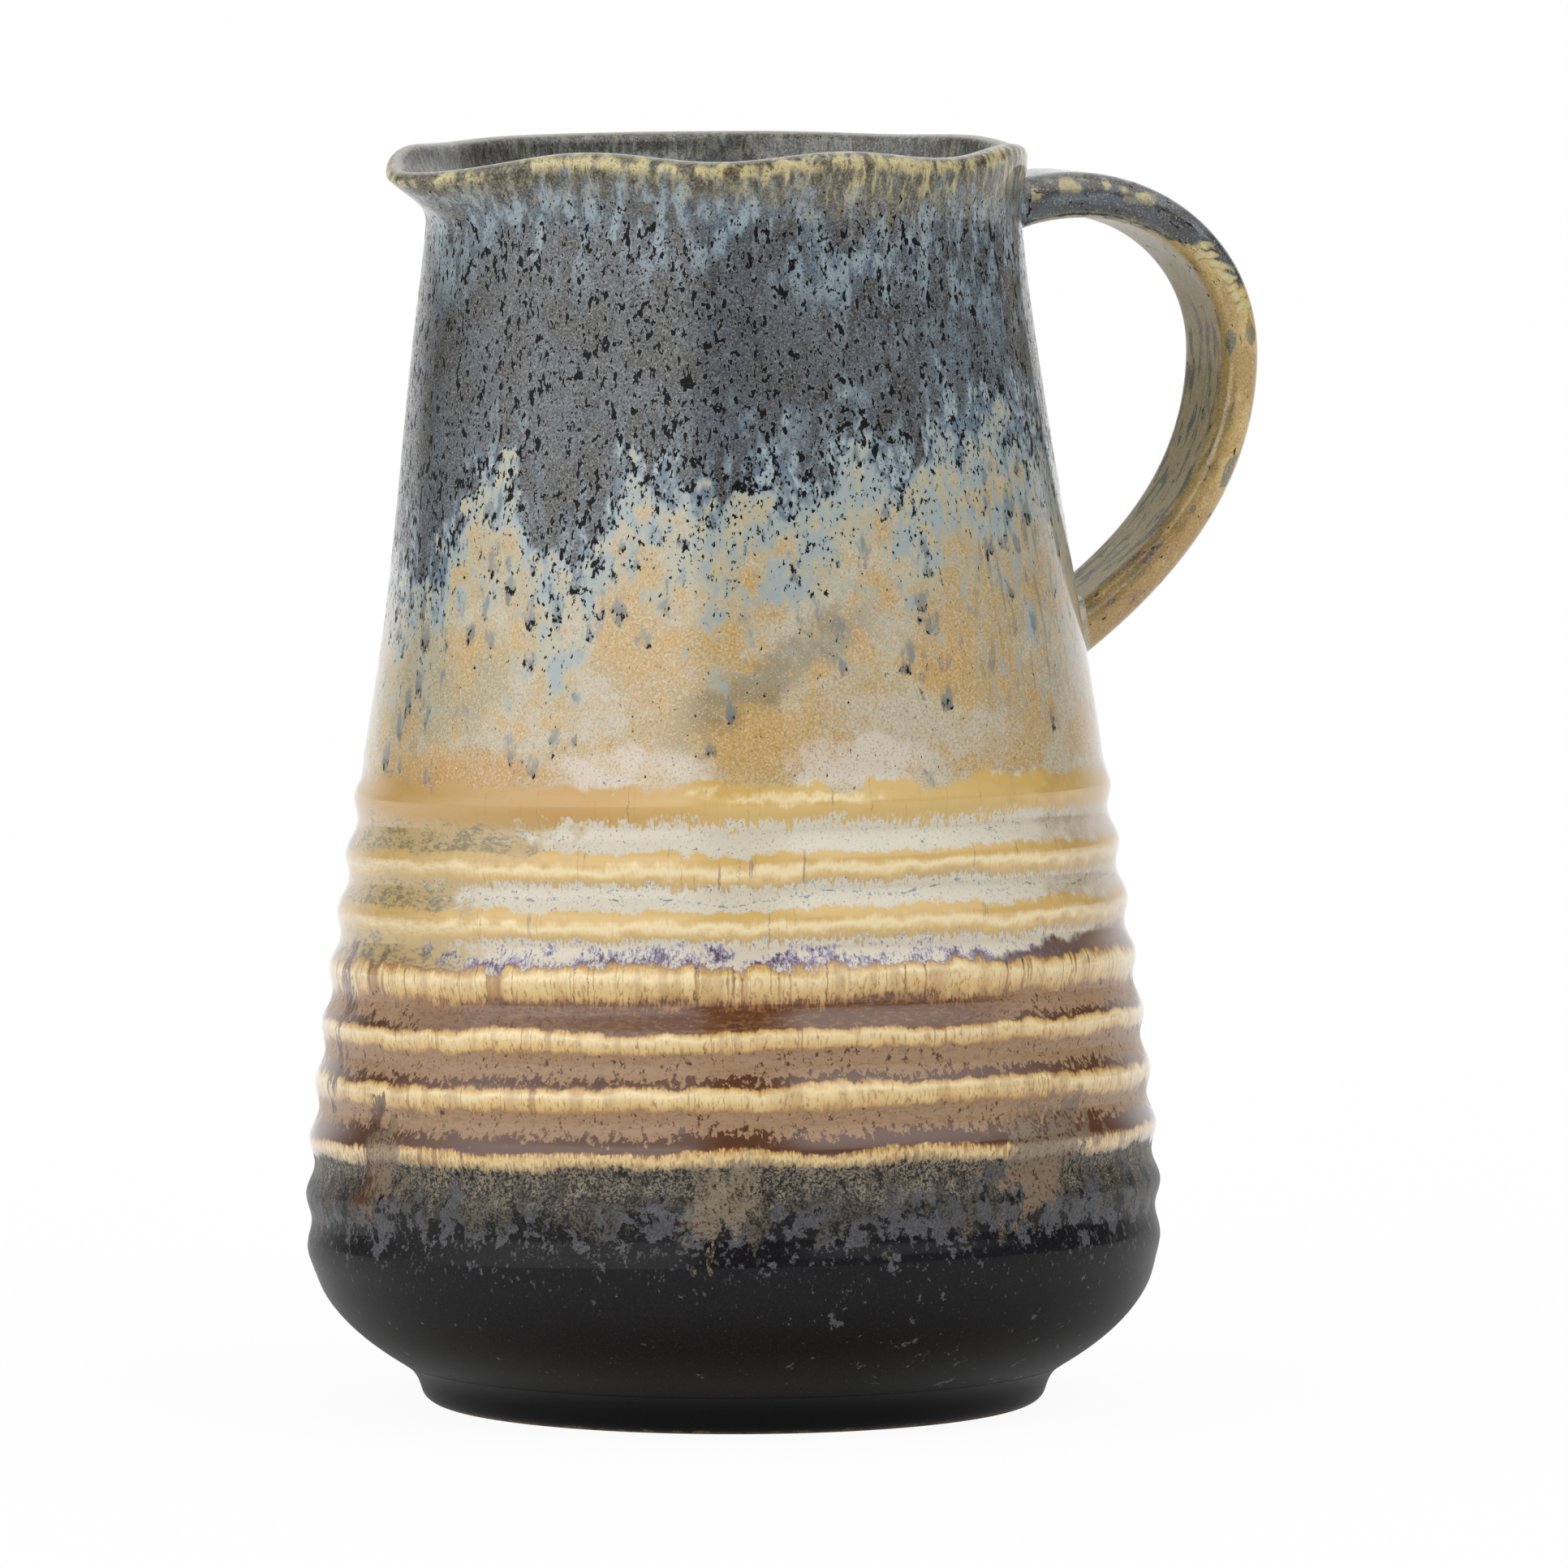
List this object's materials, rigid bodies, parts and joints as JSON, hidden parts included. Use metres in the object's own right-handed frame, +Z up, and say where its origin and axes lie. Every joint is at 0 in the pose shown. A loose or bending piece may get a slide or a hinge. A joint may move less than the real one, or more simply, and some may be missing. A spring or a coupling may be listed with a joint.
{
  "type": "serving jug",
  "caption": "Stoneware serving jug: ringed pot tapering to a pinched spout, strap handle luted to the wall and a foot ring.",
  "frame": {"origin": "on the table, in the plane of the handle and the spout, at the middle of the jug's whole length", "axes": "+Z up along the pot's axis, +X towards the handle, -X towards the spout"},
  "size_m": [0.164, 0.1431, 0.2118],
  "materials": {
    "banded_glaze": "reactive glaze, gloss at the top, satin black at the base",
    "black_glaze": "satin black glaze, bare clay where it stands",
    "handle_glaze": "gloss reactive glaze",
    "upper_lute_glaze": "gloss reactive glaze",
    "lower_lute_glaze": "gloss reactive glaze"
  },
  "bodies": {
    "root": {"thrown_pot": "banded_glaze", "foot_ring": "black_glaze", "strap_handle": "handle_glaze", "upper_lute": "upper_lute_glaze", "lower_lute": "lower_lute_glaze"}
  },
  "joints": []
}
